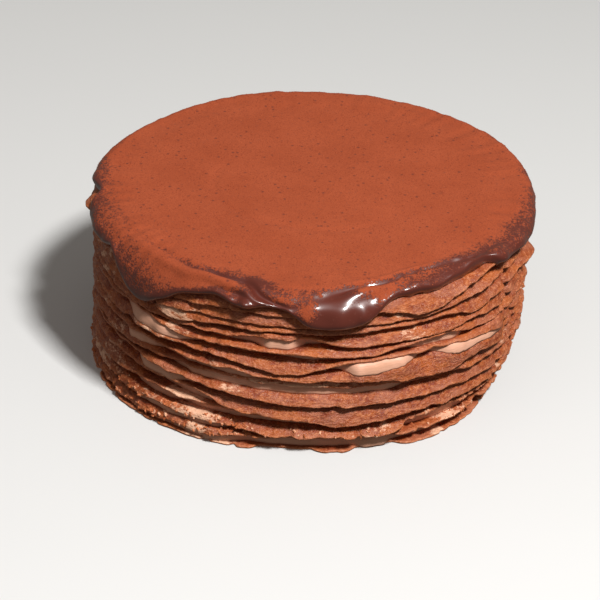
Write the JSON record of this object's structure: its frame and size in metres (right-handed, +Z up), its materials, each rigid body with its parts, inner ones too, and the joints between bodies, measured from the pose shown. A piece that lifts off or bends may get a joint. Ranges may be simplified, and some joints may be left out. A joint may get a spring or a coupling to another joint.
{
  "type": "crepe cake",
  "caption": "Round layered crepe cake: thin soft crepes and cream in turn, with a cocoa-dusted ganache that hangs over the rim.",
  "frame": {"origin": "centre of the cake's round base, on the face it rests on", "axes": "+Z up through the layers; -Y towards the front, where the ganache's longest run of drips hangs"},
  "size_m": [0.1684, 0.1684, 0.068],
  "materials": {
    "crepe": "browned cocoa crepe, soft and slightly damp",
    "cream": "light milk chocolate cream, soft satin",
    "ganache": "dark ganache under dry red-brown cocoa powder"
  },
  "bodies": {
    "root": {"crepe_01": "crepe", "crepe_02": "crepe", "crepe_03": "crepe", "crepe_04": "crepe", "crepe_05": "crepe", "crepe_06": "crepe", "crepe_07": "crepe", "crepe_08": "crepe", "crepe_09": "crepe", "crepe_10": "crepe", "crepe_11": "crepe", "crepe_12": "crepe", "crepe_13": "crepe", "crepe_14": "crepe", "cream_01": "cream", "cream_02": "cream", "cream_03": "cream", "cream_04": "cream", "cream_05": "cream", "cream_06": "cream", "cream_07": "cream", "cream_08": "cream", "cream_09": "cream", "cream_10": "cream", "cream_11": "cream", "cream_12": "cream", "cream_13": "cream", "ganache": "ganache"}
  },
  "joints": []
}
